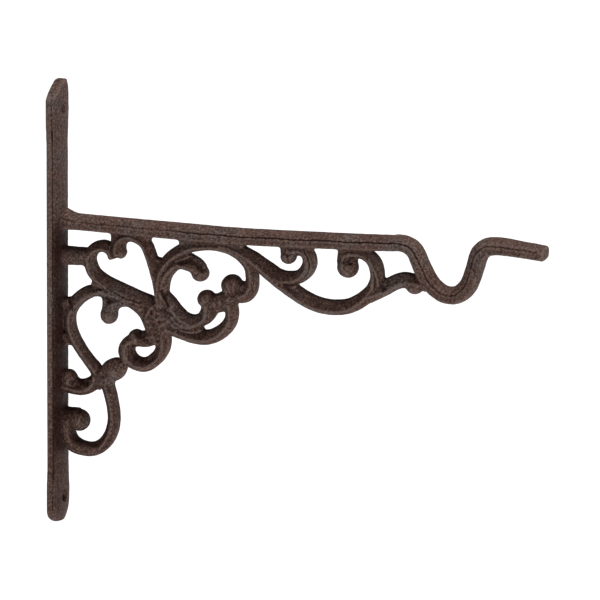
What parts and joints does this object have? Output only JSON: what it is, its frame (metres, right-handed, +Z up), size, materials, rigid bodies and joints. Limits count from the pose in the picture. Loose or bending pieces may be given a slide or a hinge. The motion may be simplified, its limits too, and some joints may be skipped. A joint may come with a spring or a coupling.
{
  "type": "hanging basket bracket",
  "caption": "Cast iron wall bracket with a flat plate, an arm that dips to hold a basket's hook, and openwork scrolls beneath it.",
  "frame": {"origin": "middle of the wall plate's flat back, where it meets the wall", "axes": "+X out from the wall along the arm, +Y across the bracket, +Z up"},
  "size_m": [0.2822, 0.0284, 0.25],
  "materials": {
    "cast_iron": "dull brown rust patina"
  },
  "bodies": {
    "root": {"basket_bracket": "cast_iron"}
  },
  "joints": []
}
